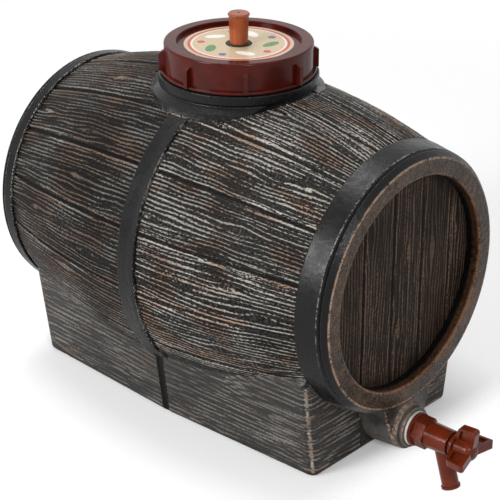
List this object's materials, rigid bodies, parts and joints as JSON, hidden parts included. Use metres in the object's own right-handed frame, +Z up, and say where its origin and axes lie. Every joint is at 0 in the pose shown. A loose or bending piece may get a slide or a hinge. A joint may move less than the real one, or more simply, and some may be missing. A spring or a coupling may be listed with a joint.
{
  "type": "wood-look plastic drinks barrel with tap",
  "caption": "Hollow lying plastic barrel moulded like a wooden one, on its own base, with a screw lid, a vent plug and a turning tap.",
  "frame": {"origin": "centre of the base's flat underside", "axes": "+Y along the barrel's axis away from the tap, +Z up, +X to the right seen from the tap"},
  "size_m": [0.3326, 0.5403, 0.432],
  "materials": {
    "barrel_plastic": "satin black-brown with copper highlights rubbed on the grain",
    "lid_plastic": "glossy dark red-brown",
    "plug_plastic": "glossy orange-brown",
    "tap_plastic": "glossy brick red-brown",
    "label_print": "printed, semi-gloss",
    "white_rubber": "matte white",
    "dark_rubber": "matte black"
  },
  "bodies": {
    "barrel": {"barrel_body": "barrel_plastic", "tap_body": "tap_plastic", "tap_outer_gasket": "white_rubber", "tap_inner_gasket": "white_rubber", "tap_nut": "tap_plastic"},
    "lid": {"lid_disc": "lid_plastic", "lid_gasket": "dark_rubber", "lid_label": "label_print", "plug_grommet": "dark_rubber"},
    "lid_ring": {"lid_ring": "lid_plastic"},
    "vent_plug": {"vent_plug": "plug_plastic"},
    "valve_seal": {"valve_seal": "dark_rubber"},
    "tap_handle": {"tap_handle": "tap_plastic", "valve_spindle": "tap_plastic", "spindle_o_ring": "dark_rubber"}
  },
  "joints": [
    {"name": "lid_lift", "type": "slide", "parent": "barrel", "child": "lid", "axis": [0, 0, 1], "range_m": [0, 0.0181]},
    {"name": "ring_turn", "type": "hinge", "parent": "lid", "child": "lid_ring", "pos_m": [0, 0, 0.36], "axis": [0, 0, 1], "range_deg": [0, 1080]},
    {"name": "plug_pull", "type": "slide", "parent": "lid", "child": "vent_plug", "axis": [0, 0, 1], "range_m": [0, 0.03]},
    {"name": "spindle_travel", "type": "slide", "parent": "barrel", "child": "valve_seal", "axis": [0, -1, 0], "range_m": [0, 0.0061]},
    {"name": "handle_turn", "type": "hinge", "parent": "valve_seal", "child": "tap_handle", "pos_m": [0, -0.29, 0.026], "axis": [0, -1, 0], "range_deg": [0, 540]}
  ],
  "couplings": [
    {"joint": "lid_lift", "follows": "ring_turn", "m_per_rad": 0.00095493},
    {"joint": "spindle_travel", "follows": "handle_turn", "m_per_rad": 0.00063662}
  ]
}
